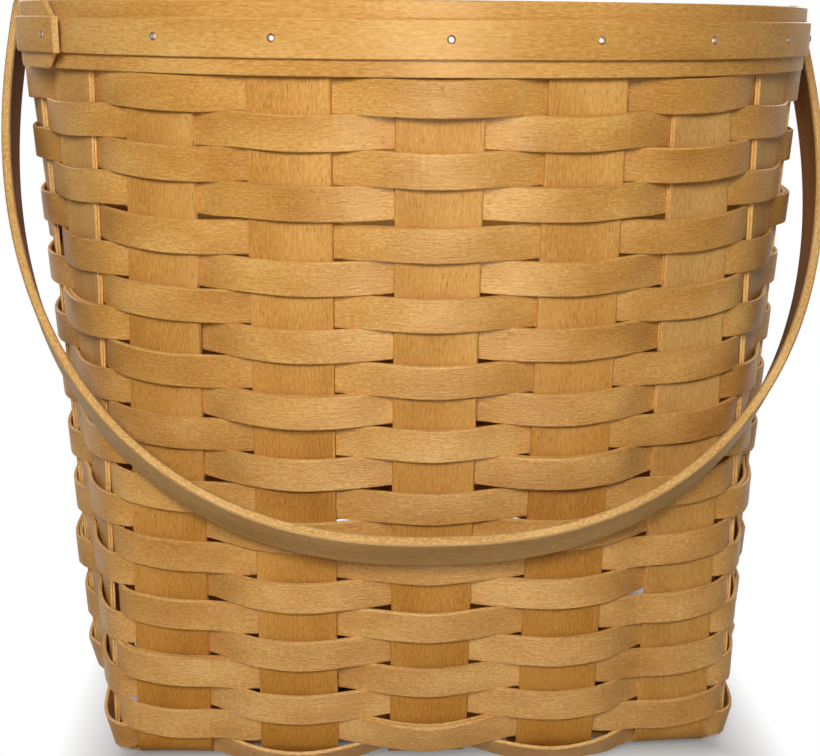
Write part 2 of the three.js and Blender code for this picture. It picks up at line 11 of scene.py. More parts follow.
import bmesh
import bpy
from mathutils import Matrix, Vector


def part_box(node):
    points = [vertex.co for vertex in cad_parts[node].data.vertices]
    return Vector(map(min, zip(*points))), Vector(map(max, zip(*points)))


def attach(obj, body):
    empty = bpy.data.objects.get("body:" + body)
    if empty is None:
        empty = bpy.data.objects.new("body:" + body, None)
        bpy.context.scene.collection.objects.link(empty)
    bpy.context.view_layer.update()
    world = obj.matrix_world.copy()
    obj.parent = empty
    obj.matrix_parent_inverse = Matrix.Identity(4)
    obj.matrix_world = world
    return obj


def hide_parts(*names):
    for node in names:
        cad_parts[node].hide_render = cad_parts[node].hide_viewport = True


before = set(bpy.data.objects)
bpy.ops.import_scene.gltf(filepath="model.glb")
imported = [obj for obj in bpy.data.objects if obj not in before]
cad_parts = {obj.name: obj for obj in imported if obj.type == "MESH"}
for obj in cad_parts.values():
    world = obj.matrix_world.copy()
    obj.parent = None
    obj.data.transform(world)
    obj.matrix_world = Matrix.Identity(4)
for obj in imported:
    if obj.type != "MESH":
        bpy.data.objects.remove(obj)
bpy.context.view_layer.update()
print("packed nodes:", len(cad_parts))

# %% [markdown]
# The sizes are those of the real basket, in millimetres, and a length is turned into Blender's
# metres only when a strip becomes a mesh. This cell holds the sizes that several pieces share. The
# others stand beside the piece that they shape, and all places are worked out from them, so that a
# changed size carries its neighbours along.

# %% Shared sizes
MM = 0.001
SPLINTS_EACH_WAY = 5
SPLINT_WIDTH = 31
SPLINT_THICKNESS = 2.2
SPLINT_SPACING = 52
WEAVER_PITCH = 12.7
RIM_RADIUS = 169
WALL_HEIGHT = 282.6
BAND_HEIGHT = 25.4
BAND_THICKNESS = 2.2
GAP = 0.3
RIM_ROOM = 0.6
EDGE_ROOM = 0.8

UPRIGHTS = 4 * SPLINTS_EACH_WAY
HALF_COUNT = (SPLINTS_EACH_WAY - 1) // 2
UPRIGHT_ANGLE = math.tau / UPRIGHTS
WEAVER_ROWS = int((WALL_HEIGHT - RIM_ROOM) / WEAVER_PITCH)
PIVOT_HEIGHT = WALL_HEIGHT + BAND_HEIGHT / 2
print("rows of weavers:", WEAVER_ROWS, "rim top:", WALL_HEIGHT + BAND_HEIGHT, "mm")

# %% [markdown]
# The camera stands close in front of the basket, a little to its left and level with the rim, and
# looks down, so the wall narrows strongly towards the foot. A target to track would be easier to
# set up, but three turns about known axes, for side, tilt and roll, can be measured one by one.

# %% Camera
CAMERA_DISTANCE = 633.8
CAMERA_HEIGHT = 300.9
CAMERA_SIDE_TURN = math.radians(3.32)
CAMERA_TILT = math.radians(14.95)
CAMERA_ROLL = math.radians(0.48)
CAMERA_LENS = 58.55
CAMERA_SENSOR = 36

scene = bpy.context.scene
camera_data = bpy.data.cameras.new("camera")
camera_data.lens = CAMERA_LENS
camera_data.sensor_width = CAMERA_SENSOR
camera_data.sensor_fit = "HORIZONTAL"
camera = bpy.data.objects.new("camera", camera_data)
camera.location = Vector((
    -math.sin(CAMERA_SIDE_TURN) * CAMERA_DISTANCE,
    -math.cos(CAMERA_SIDE_TURN) * CAMERA_DISTANCE,
    CAMERA_HEIGHT,
)) * MM
aim = Matrix.Rotation(-CAMERA_SIDE_TURN, 3, "Z") @ Matrix.Rotation(math.pi / 2 - CAMERA_TILT, 3, "X")
camera.rotation_euler = (aim @ Matrix.Rotation(CAMERA_ROLL, 3, "Z")).to_euler()
scene.collection.objects.link(camera)
scene.camera = camera
scene.view_settings.view_transform = "Standard"
print("camera at", tuple(round(value, 3) for value in camera.location))

# %% [markdown]
# A finish is a tree of shader nodes. Written out, each node and link takes a line and the sum that
# they make is lost, so here shader maths is written as Python. A Signal is one output of a node, and
# adding or multiplying signals adds the Math nodes.

# %% Signals
class Signal:
    def __init__(self, recipe, socket):
        self.recipe = recipe
        self.socket = socket

    def maths(self, operation, *values):
        inputs = dict(enumerate(values))
        return self.recipe.node("ShaderNodeMath", {"operation": operation}, inputs)

    def __add__(self, other):
        return self.maths("ADD", self, other)

    def __radd__(self, other):
        return self.maths("ADD", other, self)

    def __sub__(self, other):
        return self.maths("SUBTRACT", self, other)

    def __rsub__(self, other):
        return self.maths("SUBTRACT", other, self)

    def __mul__(self, other):
        return self.maths("MULTIPLY", self, other)

    def __rmul__(self, other):
        return self.maths("MULTIPLY", other, self)

    def __truediv__(self, other):
        return self.maths("DIVIDE", self, other)

    def held(self, low=0.0, high=1.0):
        return self.maths("MINIMUM", self.maths("MAXIMUM", self, low), high)


print("signals can be added and multiplied")

# %% [markdown]
# A Recipe is a node tree, and its node method adds any other node, with its settings and inputs, and
# gives back a Signal. Some nodes keep sockets for several kinds of data side by side, so the numbers
# of the sockets that are used here get names.

# %% Recipes
OBJECT_PLACE = 3
Z_PART = 2
MIX_FACTOR, MIX_FIRST_COLOUR, MIX_SECOND_COLOUR, MIX_COLOUR = 0, 6, 7, 2


class Recipe:
    def __init__(self, owner):
        owner.use_nodes = True
        self.nodes = owner.node_tree.nodes
        self.links = owner.node_tree.links
        self.nodes.clear()

    def node(self, kind, settings=None, inputs=None, output=0):
        made = self.nodes.new(kind)
        for key, value in (settings or {}).items():
            if key == "stops":
                self.set_stops(made.color_ramp.elements, value)
            else:
                setattr(made, key, value)
        for key, value in (inputs or {}).items():
            if isinstance(value, Signal):
                self.links.new(value.socket, made.inputs[key])
            else:
                made.inputs[key].default_value = value
        return Signal(self, made.outputs[output]) if made.outputs else made

    @staticmethod
    def set_stops(elements, stops):
        while len(elements) < len(stops):
            elements.new(0.5)
        for element, (place, colour) in zip(elements, stops):
            element.position = place
            element.color = colour

    def scaled(self, vector, factors):
        return self.node("ShaderNodeVectorMath", {"operation": "MULTIPLY"}, {0: vector, 1: factors})

    def noise(self, vector, factors, detail=2.0, roughness=0.5):
        inputs = {
            "Vector": self.scaled(vector, factors),
            "Scale": 1.0,
            "Detail": detail,
            "Roughness": roughness,
        }
        return self.node("ShaderNodeTexNoise", {}, inputs)

    def mixed(self, factor, first, second, blend_type="MIX"):
        settings = {"data_type": "RGBA", "blend_type": blend_type}
        inputs = {MIX_FACTOR: factor, MIX_FIRST_COLOUR: first, MIX_SECOND_COLOUR: second}
        return self.node("ShaderNodeMix", settings, inputs, output=MIX_COLOUR)

    def place(self):
        """Where a point lies on the object, in metres."""
        return self.node("ShaderNodeTexCoord", {}, {}, output=OBJECT_PLACE)


def linear(red, green, blue):
    """A colour picked as 0 to 255 on a screen, as the linear light that a shader works in."""
    def channel(value):
        share = value / 255
        return share / 12.92 if share <= 0.04045 else ((share + 0.055) / 1.055) ** 2.4
    return (channel(red), channel(green), channel(blue), 1.0)


print("helpers for finishes are ready")

# %% [markdown]
# The wood is pale, fine and varnished, with short dark flecks. A pattern in the object's own space
# would cut through the strips at any angle. Real grain follows each strip, so the pattern reads the
# strip's own UV map, in centimetres: U runs along the strip and V across it. Stretched noise makes
# fibres, finer noise the mottling, sharp peaks of a third the flecks, and a slow noise changes the
# tone from strip to strip. A wave bends the fibres a little. A tint also follows the height on the
# wall. It is painted light and shade for the way the light and the sheen change down the wall: it
# makes the uprights browner towards the foot and the weavers yellower near the rim.

# %% Recipe for wood
FIBRE = (1.3, 15.0, 1.0)
MOTTLE = (5.6, 14.0, 1.0)
FLECK = (4.5, 24.0, 1.0)
FLECK_CLUSTER = (0.7, 1.6, 1.0)
DRIFT = (0.22, 0.35, 1.0)
WAVE = (1.1, 0.9, 1.0)
WAVE_REACH = 0.22
FLECK_LEVEL = 0.68
FLECK_SHARPNESS = 12
CLUSTER_LEVEL = 0.45
CLUSTER_SHARPNESS = 6
MOTTLE_DULLNESS = 0.25
FLECK_DULLNESS = 0.2
FIBRE_HEIGHT = 0.6
MOTTLE_HEIGHT = 0.4
FLECK_HEIGHT = 0.8
GRAIN_DEPTH = 0.3
NO_PAINTED_LIGHT = (1, 1, 1, 1)

materials_before = len(bpy.data.materials)


def wood(name, deep, base, pale, fleck, fibre=0.8, mottle=1.7, drift=1.5, flecks=0.3, stretch=1.0,
         roughness=0.38, sheen=0.045, relief=0.3, foot_shade_tint=NO_PAINTED_LIGHT, rim_light_tint=NO_PAINTED_LIGHT):
    material = bpy.data.materials.new(name)
    recipe = Recipe(material)
    plain = recipe.node("ShaderNodeUVMap", {"uv_map": "grain"})
    plain = recipe.scaled(plain, (1 / stretch, 1.0, 1.0))
    wave = recipe.noise(plain, WAVE, 1.0)
    lift = recipe.node("ShaderNodeCombineXYZ", {}, {1: (wave - 0.5) * WAVE_REACH})
    grain = recipe.node("ShaderNodeVectorMath", {"operation": "ADD"}, {0: plain, 1: lift})
    fibres = recipe.noise(grain, FIBRE, 3.0, 0.6)
    mottling = recipe.noise(grain, MOTTLE, 3.0, 0.65)
    tone = recipe.noise(plain, DRIFT, 2.0)
    cluster = recipe.noise(plain, FLECK_CLUSTER, 1.0)
    spots = recipe.noise(grain, FLECK, 0.0)
    level = 0.5 + (fibres - 0.5) * fibre + (mottling - 0.5) * mottle + (tone - 0.5) * drift
    stops = [(0.0, deep), (0.5, base), (1.0, pale)]
    colour = recipe.node("ShaderNodeValToRGB", {"stops": stops}, {0: level.held()})
    # Painted light and shade: a tint from the foot to the rim stands for the light changing down the
    # wall.
    height = recipe.node("ShaderNodeSeparateXYZ", {}, {0: recipe.place()}, output=Z_PART)
    height_light_stops = {"stops": [(0.0, foot_shade_tint), (1.0, rim_light_tint)]}
    painted_height_light = recipe.node("ShaderNodeValToRGB", height_light_stops, {0: height / (WALL_HEIGHT * MM)})
    colour = recipe.mixed(1.0, colour, painted_height_light, "MULTIPLY")
    spotted = ((spots - FLECK_LEVEL) * FLECK_SHARPNESS).held()
    clustered = ((cluster - CLUSTER_LEVEL) * CLUSTER_SHARPNESS).held()
    mask = spotted * clustered * flecks
    colour = recipe.mixed(mask, colour, fleck)
    gloss = roughness + (mottling - 0.5) * MOTTLE_DULLNESS + mask * FLECK_DULLNESS
    bump_inputs = {
        "Strength": relief,
        "Distance": GRAIN_DEPTH * MM,
        "Height": fibres * FIBRE_HEIGHT + mottling * MOTTLE_HEIGHT - mask * FLECK_HEIGHT,
    }
    bump = recipe.node("ShaderNodeBump", {}, bump_inputs)
    surface = recipe.node("ShaderNodeBsdfPrincipled", {}, {
        "Base Color": colour,
        "Roughness": gloss,
        "Normal": bump,
        "Specular IOR Level": sheen,
    })
    recipe.node("ShaderNodeOutputMaterial", {}, {"Surface": surface})
    return material


print("wood can be mixed")

# %% [markdown]
# Each kind of strip has its own cut of wood. A finish is four colours, from the deep grain to the
# flecks, picked as they look in plain light. Sawn edges are rougher than faces, and paler, partly
# as painted light for the light that they catch, and cut ends soak up varnish. The splints and the
# handle are nearly matt, and the weavers shine most.

# %% Wood finishes
# The weavers' rim tint is painted light: it makes them yellower near the rim.
WEAVER_WOOD = wood("weaver_wood", linear(175, 121, 56), linear(203, 150, 84), linear(227, 182, 116),
                   linear(138, 90, 38), mottle=1.5, sheen=0.07, roughness=0.4, relief=1.2,
                   rim_light_tint=(1, 0.95, 0.72, 1))
# The splints' foot tint is painted shade: it makes them browner towards the foot.
SPLINT_WOOD = wood("splint_wood", linear(182, 126, 56), linear(209, 153, 79), linear(226, 174, 102),
                   linear(146, 96, 40), stretch=1.6, flecks=0.8, sheen=0.012,
                   foot_shade_tint=(0.7, 0.59, 0.36, 1))
# Painted sheen: paler colours stand for the gloss on the outer splints. The foot tint here is painted
# shade.
SHEEN_PAINTED_SPLINT_WOOD = wood("sheen_painted_splint_wood", linear(190, 138, 72), linear(217, 167, 97),
                        linear(232, 188, 122), linear(156, 106, 52), stretch=1.6, flecks=0.6,
                        sheen=0.012, foot_shade_tint=(0.72, 0.61, 0.4, 1))
BAND_WOOD = wood("band_wood", linear(182, 126, 54), linear(208, 154, 80), linear(226, 178, 106),
                 linear(140, 92, 40), stretch=1.7, roughness=0.42, relief=0.5)
HANDLE_WOOD = wood("handle_wood", linear(168, 128, 74), linear(196, 154, 98), linear(212, 174, 118),
                   linear(120, 84, 46), stretch=2.0, flecks=0.4, sheen=0.01)
# Painted shade: the handle's inner face is darker because it faces away from the light.
HANDLE_INSIDE_SHADE = wood("handle_inside_shade", linear(120, 78, 36), linear(148, 102, 52), linear(170, 122, 68),
                     linear(100, 64, 30), stretch=2.0, flecks=0.4, sheen=0.005)
# Partly painted light: sawn edges are rougher and paler, and part of that paleness stands for the light
# they catch.
LIT_SAWN_EDGE = wood("lit_sawn_edge", linear(196, 146, 80), linear(222, 174, 106), linear(238, 198, 134),
                 linear(160, 110, 56), mottle=2.6, flecks=0.9, roughness=0.55, sheen=0.025)
GLUE_LINE = wood("glue_line", linear(140, 96, 46), linear(164, 116, 60), linear(184, 136, 76),
                 linear(120, 80, 40), roughness=0.6, sheen=0.025)
END_GRAIN = wood("end_grain", linear(186, 134, 70), linear(218, 170, 104), linear(238, 200, 140),
                 linear(140, 92, 46), mottle=2.6, stretch=0.2, roughness=0.7, sheen=0.025, relief=0.8)
DARK_END = wood("dark_end", linear(126, 86, 44), linear(158, 112, 62), linear(184, 138, 82),
                linear(100, 64, 32), stretch=0.2, roughness=0.6, sheen=0.025, relief=0.6)
print("wood finishes:", len(bpy.data.materials) - materials_before)

# %% [markdown]
# The nails and rivets are soft steel: dull and brown where the varnish and time have stained them,
# and bright where a hammer or the handle has rubbed them. They are a few millimetres across and
# have no UV map, so the stain is noise on the object's own coordinates.

# %% Steel finishes
STAIN = (900.0, 900.0, 900.0)
STAIN_LEVEL = 0.3
STAIN_SHARPNESS = 2.2
STAIN_DULLNESS = 0.4
STAIN_DEPTH = 0.1
STAIN_RELIEF = 0.3
METAL_SHARE = 0.9


def steel(name, dark, bright, roughness):
    material = bpy.data.materials.new(name)
    recipe = Recipe(material)
    stain = recipe.noise(recipe.place(), STAIN, 3.0, 0.6)
    colour = recipe.mixed(((stain - STAIN_LEVEL) * STAIN_SHARPNESS).held(), dark, bright)
    bump_inputs = {"Strength": STAIN_RELIEF, "Distance": STAIN_DEPTH * MM, "Height": stain}
    bump = recipe.node("ShaderNodeBump", {}, bump_inputs)
    surface = recipe.node("ShaderNodeBsdfPrincipled", {}, {
        "Base Color": colour,
        "Roughness": roughness + (stain - 0.5) * STAIN_DULLNESS,
        "Metallic": METAL_SHARE,
        "Normal": bump,
    })
    recipe.node("ShaderNodeOutputMaterial", {}, {"Surface": surface})
    return material


BRIGHT_STEEL = steel("bright_steel", linear(110, 100, 96), linear(176, 168, 162), 0.42)
DULL_STEEL = steel("dull_steel", linear(70, 56, 50), linear(116, 102, 96), 0.5)
print("wood and steel finishes:", len(bpy.data.materials) - materials_before)

# %% [markdown]
# Every strip has the same make: a flat section carried along a path. A Bevel modifier could round a
# square section, but it doesn't know a face from a sawn edge. Here the outline has its eased corners
# from the start, with a point close beside each so that smooth shading stays flat on the faces, and
# each point says which kind of surface comes after it. That picks the finish. An upright is two
# plies glued together, so its sawn edges get a fine groove.

# %% Section of a strip
FACE, EDGE, GROOVE, END, INSIDE = range(5)
CORNER_SUPPORT = 0.35
GROOVE_DEPTH = 0.12
GROOVE_HALF = 0.12


def section(width, thickness, ease, plies=1):
    """Outline of a strip as (across, outward) points with the kind of surface that follows each."""
    half_width = width / 2
    half_thick = thickness / 2
    inset = ease * (1 - math.sqrt(0.5))
    corner = [
        (half_width - ease - CORNER_SUPPORT, half_thick, FACE),
        (half_width - ease, half_thick, FACE),
        (half_width - inset, half_thick - inset, FACE),
        (half_width, half_thick - ease, EDGE),
    ]
    groove = [
        (half_width, GROOVE_HALF, GROOVE),
        (half_width - GROOVE_DEPTH, 0.0, GROOVE),
        (half_width, -GROOVE_HALF, EDGE),
    ]
    mirrored = [(across, -out, FACE) for across, out, _ in reversed(corner)]
    right = corner + (groove if plies == 2 else []) + mirrored
    left = [(-across, -out, kind) for across, out, kind in right]
    return right + left


print("kinds of surface on a strip:", INSIDE + 1)

# %% [markdown]
# A curve with a bevel object would carry a section along a path, but it twists where it likes and
# gives no say over the UV map. So a strip starts as a flat grid with one column for each place along
# the path and one row for each point of the section. The UV map is written while the grid is still
# flat, with a random start so that no two strips share a pattern. Then the vertices are moved into
# place, the seam is merged and the ends are filled.

# %% Laying a strip
MM_IN_CM = 10
GRAIN_FIELD = 900
MERGE_DISTANCE = 0.001

random.seed(20)


class Place:
    """One place along a strip: its middle, the ways across and outward, and its share of the width."""

    def __init__(self, middle, across, out, width=1.0):
        self.middle = middle
        self.across = across
        self.out = out
        self.width = width


def lay_strip(name, places, outline, finishes, body, replaced):
    steps = len(places) - 1
    around = len(outline)
    mesh = bmesh.new()
    bmesh.ops.create_grid(mesh, x_segments=steps, y_segments=around, size=0.5)
    walked = [0.0]
    for before, after in zip(places, places[1:]):
        walked.append(walked[-1] + (after.middle - before.middle).length)
    girth = [0.0]
    for (a, b, _), (c, d, _) in zip(outline, outline[1:] + outline[:1]):
        girth.append(girth[-1] + math.hypot(c - a, d - b))
    start_u = random.uniform(0, GRAIN_FIELD)
    start_v = random.uniform(0, GRAIN_FIELD)
    grain = mesh.loops.layers.uv.new("grain")
    cell = {v: (round((v.co.x + 0.5) * steps), round((v.co.y + 0.5) * around)) for v in mesh.verts}
    for face in mesh.faces:
        face.smooth = True
        face.material_index = outline[min(cell[v][1] for v in face.verts)][2]
        for loop in face.loops:
            i, j = cell[loop.vert]
            loop[grain].uv = (start_u + walked[i] / MM_IN_CM, start_v + girth[j] / MM_IN_CM)
    for vertex, (i, j) in cell.items():
        place = places[i]
        across, out, _ = outline[j % around]
        offset = place.across * (across * place.width) + place.out * out
        vertex.co = (place.middle + offset) * MM
    bmesh.ops.remove_doubles(mesh, verts=mesh.verts, dist=MERGE_DISTANCE * MM)
    rims = [edge for edge in mesh.edges if edge.is_boundary]
    caps = bmesh.ops.holes_fill(mesh, edges=rims, sides=0)["faces"]
    for edge in rims:
        edge.smooth = False
    for cap in caps:
        cap.material_index = END
        cap.smooth = False
        for loop in cap.loops:
            spot = loop.vert.co / MM / MM_IN_CM
            loop[grain].uv = (start_u + spot.x + spot.y, start_v + spot.z)
    bmesh.ops.recalc_face_normals(mesh, faces=mesh.faces)
    return finished(name, mesh, finishes, body, replaced)


def finished(name, mesh, finishes, body, replaced):
    """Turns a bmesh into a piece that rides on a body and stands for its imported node."""
    data = bpy.data.meshes.new(name)
    mesh.to_mesh(data)
    mesh.free()
    for finish in finishes:
        data.materials.append(finish)
    piece = bpy.data.objects.new(name, data)
    scene.collection.objects.link(piece)
    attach(piece, body)
    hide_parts(replaced)
    return piece


print("strips can be laid")

# %% [markdown]
# The wall is a circle at the rim and a rounded square at the base. It could be a loft between the
# two, but the strips need to know where each upright stands and which way it faces. So an upright's
# place is found from its number and the distance down from the rim band. It goes straight inside
# the rim, leans along the wall, bends through a quarter circle and runs out flat under the basket.

# %% Wall of uprights
BEND_RADIUS_MIDDLE = 28
BEND_RADIUS_CORNER = 12
FOOT_TURN_SHARE = 0.35
STIFFEST_POWER = 60
SEARCH_STEPS = 60
LEVEL_LOW = SPLINT_THICKNESS / 2
LEVEL_HIGH = LEVEL_LOW + SPLINT_THICKNESS + GAP
FLAT_HALF = HALF_COUNT * SPLINT_SPACING + SPLINT_WIDTH / 2 + EDGE_ROOM
BASE_HALF = FLAT_HALF + BEND_RADIUS_MIDDLE


def squareness():
    """Power of the rounded square that passes the bends of the middle and the corner uprights."""
    across = HALF_COUNT * SPLINT_SPACING / BASE_HALF
    along = (FLAT_HALF + BEND_RADIUS_CORNER) / BASE_HALF
    low, high = 1.0, float(STIFFEST_POWER)
    for _ in range(SEARCH_STEPS):
        power = (low + high) / 2
        if across ** power + along ** power > 1:
            low = power
        else:
            high = power
    return low


SQUARENESS = squareness()


class Upright:
    """One upright, counted from the middle of the front round by the right side."""

    def __init__(self, number):
        side, column = divmod((number + HALF_COUNT) % UPRIGHTS, SPLINTS_EACH_WAY)
        column -= HALF_COUNT
        self.turn = Matrix.Rotation(side * math.pi / 2, 3, "Z")
        self.x = column * SPLINT_SPACING
        self.level = LEVEL_LOW if number % 2 else LEVEL_HIGH
        share = abs(self.x) / BASE_HALF
        reach = BASE_HALF * (1 - share ** SQUARENESS) ** (1 / SQUARENESS)
        self.bend = reach - FLAT_HALF
        self.top_turn = column * UPRIGHT_ANGLE
        slope = math.copysign(share ** (SQUARENESS - 1), self.x)
        self.foot_turn = FOOT_TURN_SHARE * math.atan2(slope, (reach / BASE_HALF) ** (SQUARENESS - 1))
        sine, cosine = math.sin(self.top_turn), math.cos(self.top_turn)
        self.top = Vector((RIM_RADIUS * sine, -RIM_RADIUS * cosine, WALL_HEIGHT))
        self.foot = Vector((self.x, -reach, self.level + self.bend))
        self.wall = (self.foot - self.top).length
        self.arc = self.bend * math.pi / 2

    def at(self, distance):
        """Middle, across, out and down at a distance below the rim band."""
        if distance <= 0:
            middle = self.top - Vector((0, 0, distance))
            turn, down = self.top_turn, Vector((0, 0, -1))
        elif distance <= self.wall:
            share = distance / self.wall
            middle = self.top.lerp(self.foot, share)
            turn = self.top_turn + (self.foot_turn - self.top_turn) * share
            down = (self.foot - self.top).normalized()
        else:
            share = min((distance - self.wall) / self.arc, 1.0)
            angle = share * math.pi / 2
            past = max(distance - self.wall - self.arc, 0.0)
            middle = Vector((
                self.x,
                -FLAT_HALF - self.bend * math.cos(angle) + past,
                self.level + self.bend - self.bend * math.sin(angle),
            ))
            turn = self.foot_turn * (1 - share)
            down = Vector((0, math.sin(angle), -math.cos(angle)))
        across = Vector((math.cos(turn), math.sin(turn), 0))
        across = (across - down * across.dot(down)).normalized()
        out = down.cross(across).normalized()
        return [self.turn @ vector for vector in (middle, across, out, down)]


uprights = [Upright(number) for number in range(UPRIGHTS)]
print("squareness of the base:", round(SQUARENESS, 2))

# %% [markdown]
# A splint is one strip with three stretches: down one wall, over and under its neighbours across
# the base, and up the opposite wall. The far wall is the far upright's path taken backwards. The
# splints of the sides, and the one at the right of the front, get a paler finish, which is painted
# sheen: these uprights turn further to the side and catch more gloss.

# %% Splints
UPRIGHT_BELOW_RIM_TOP = 1
SPLINT_EASE = 0.3
WALL_STEP = 9.0
BEND_STEPS = 12
BASE_STEP = 4.0


def smooth(share):
    share = min(max(share, 0.0), 1.0)
    return share * share * (3 - 2 * share)


def spread(first, last, step):
    count = max(1, round((last - first) / step))
    return [first + (last - first) * i / count for i in range(count + 1)]


def wall_stretch(number):
    """Places of an upright from the rim down to the end of its bend."""
    shape = uprights[number % UPRIGHTS]
    distances = spread(UPRIGHT_BELOW_RIM_TOP - BAND_HEIGHT, 0, WALL_STEP)
    distances += spread(0, shape.wall, WALL_STEP)[1:]
    distances += spread(shape.wall, shape.wall + shape.arc, shape.arc / BEND_STEPS)[1:]
    return [shape.at(distance) for distance in distances]


def base_level(number, along):
    """Height of a splint on the base, at a distance from the middle: high where it crosses over."""
    place = along / SPLINT_SPACING
    nearest = min(max(round(place), -HALF_COUNT), HALF_COUNT)
    sign = 1 if (number - nearest - HALF_COUNT) % 2 == 0 else -1
    flat = (SPLINT_WIDTH / 2 + EDGE_ROOM) / SPLINT_SPACING
    away = abs(place - nearest)
    crosses_next = abs(place) < HALF_COUNT
    fade = 1 - smooth((away - flat) / (1 - 2 * flat)) * 2 if crosses_next else 1
    middle = (LEVEL_LOW + LEVEL_HIGH) / 2
    return middle + sign * fade * (LEVEL_HIGH - LEVEL_LOW) / 2


def splint(name, first_number, last_number, face_finish):
    places = [Place(middle, across, out) for middle, across, out, _ in wall_stretch(first_number)]
    bottom = places[-1]
    inward = bottom.across.cross(bottom.out)
    if inward.dot(bottom.middle) > 0:
        inward = inward * -1
    for along in spread(-FLAT_HALF, FLAT_HALF, BASE_STEP)[1:-1]:
        middle = bottom.middle + inward * (along + FLAT_HALF)
        middle.z = base_level(first_number, along)
        places.append(Place(middle, bottom.across, bottom.out))
    for middle, across, out, _ in reversed(wall_stretch(last_number)):
        places.append(Place(middle, across * -1, out))
    outline = section(SPLINT_WIDTH, SPLINT_THICKNESS, SPLINT_EASE, plies=2)
    finishes = [face_finish, LIT_SAWN_EDGE, GLUE_LINE, END_GRAIN]
    return lay_strip(name + "_finished", places, outline, finishes, "basket", name)


# The side splints and the right front one take the paler finish, which is painted sheen.
for column in range(-HALF_COUNT, HALF_COUNT + 1):
    count = column + HALF_COUNT + 1
    splint(f"splint_front_to_back_{count}", column % UPRIGHTS, 2 * SPLINTS_EACH_WAY - column,
           SHEEN_PAINTED_SPLINT_WOOD if column == HALF_COUNT else SPLINT_WOOD)
    splint(f"splint_side_to_side_{count}", SPLINTS_EACH_WAY + column, 3 * SPLINTS_EACH_WAY - column,
           SHEEN_PAINTED_SPLINT_WOOD)
print("splints laid:", 2 * SPLINTS_EACH_WAY)

# %% [markdown]
# The weavers follow the wall, but between two uprights there is no wall to follow. So it is filled
# in: on an upright it is the upright's own middle plane, and in a gap a cubic curve from one
# upright's edge to the next one's, which leaves and arrives along their faces. A straight line
# across the gap would be shorter, but it would give the weavers a kink at every edge.

# %% Wall between uprights
ON_UPRIGHT = 0.29


def wall_place(number, share, distance):
    """Middle, along, out and down of the wall at a share of the way from one upright to the next."""
    here = uprights[number % UPRIGHTS].at(distance)
    middle, across, out, down = here
    half = SPLINT_WIDTH / 2
    if abs(share) <= ON_UPRIGHT:
        return middle + across * (half * share / ON_UPRIGHT), across, out, down
    step = 1 if share > 0 else -1
    there_middle, there_across, there_out, there_down = uprights[(number + step) % UPRIGHTS].at(distance)
    start = middle + across * (half * step)
    end = there_middle - there_across * (half * step)
    t = (abs(share) - ON_UPRIGHT) / (1 - 2 * ON_UPRIGHT)
    length = (end - start).length
    pull_start = across * (step * length)
    pull_end = there_across * (step * length)
    point = (start * (2 * t ** 3 - 3 * t ** 2 + 1) + pull_start * (t ** 3 - 2 * t ** 2 + t)
             + end * (3 * t ** 2 - 2 * t ** 3) + pull_end * (t ** 3 - t ** 2))
    return (point, across.lerp(there_across, t).normalized(), out.lerp(there_out, t).normalized(),
            down.lerp(there_down, t).normalized())


print("an upright takes", round(2 * ON_UPRIGHT * 100), "percent of its share of the wall")

# %% [markdown]
# A weaver is springy. Over an upright it bows a little and touches the upright near its two edges;
# in the gap it runs straight through to the other side. Cloth or rope tools could relax it into
# place, but a cosine wave on either side of the wall comes close, and its height can be set. The
# strip's width always stands square to the path. It starts behind one upright, goes once round, and
# laps over its own start for two uprights. Handwork is never quite even, so a weaver sags a little
# where it crosses over an upright, more so near the foot, and the row shifts say how much lower than
# an even pitch each row lies, in millimetres, from the rim down. The strips are drawn half a
# millimetre wider than they are packed, so that the rows close up as they do on the real wall.

# %% Path of a weaver
WEAVER_WIDTH = 12.8
WEAVER_THICKNESS = 1.6
WEAVER_LAP_UPRIGHTS = 2
WEAVER_FIRST_START = 19
WEAVER_START_STEP = 11
LAYER_GAP = 0.15
WEAVE_REACH = 3.4
WEAVE_FULLNESS = -0.1
STEPS_PER_UPRIGHT = 10
LAP_SWITCH = 0.6
SAG_AT_RIM = 0.4
SAG_AT_FOOT = 1.2
ROW_SHIFTS = [-0.6, -1.2, -1.3, -1.6, -0.2, 0, 0.2, -0.3, 0, -0.6, -0.4, -0.8, 0.3, 0, 0.3, -0.2, 0.3,
              -0.2, -0.6, -1.2, -1.6, -1.6]


